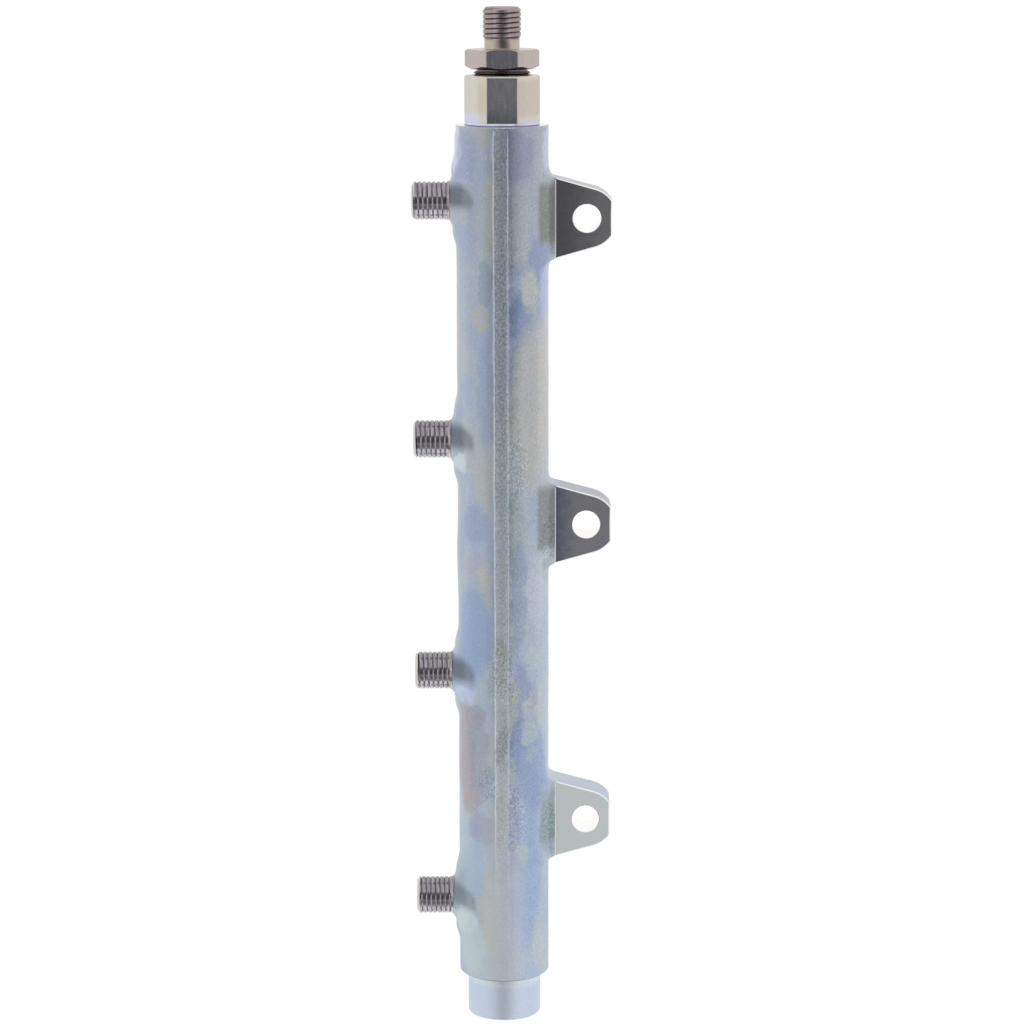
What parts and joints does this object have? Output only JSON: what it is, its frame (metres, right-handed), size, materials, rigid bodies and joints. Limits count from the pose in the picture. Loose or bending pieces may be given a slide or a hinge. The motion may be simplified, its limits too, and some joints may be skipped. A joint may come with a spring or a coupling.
{
  "type": "fuel rail",
  "caption": "High pressure diesel fuel rail: long forged tube with male threaded outlets along one side, drilled ears along the other, a screwed-in inlet union and an open sensor port.",
  "frame": {"origin": "centre of the middle ear's bolt hole on the ears' seating face, which is the middle of the line of three holes", "axes": "+Y along the rail towards the inlet union, +X from the rail towards the ears, +Z along the bolt holes away from the seating face"},
  "size_m": [0.0624, 0.3255, 0.0294],
  "materials": {
    "rail_zinc": "satin",
    "union_steel": "satin",
    "seal_iron": "matte",
    "throttle_steel": "satin"
  },
  "bodies": {
    "root": {"rail_body": "rail_zinc", "inlet_union": "union_steel", "inlet_seal_ring": "seal_iron", "outlet_throttle_1": "throttle_steel", "outlet_throttle_2": "throttle_steel", "outlet_throttle_3": "throttle_steel", "outlet_throttle_4": "throttle_steel"}
  },
  "joints": []
}
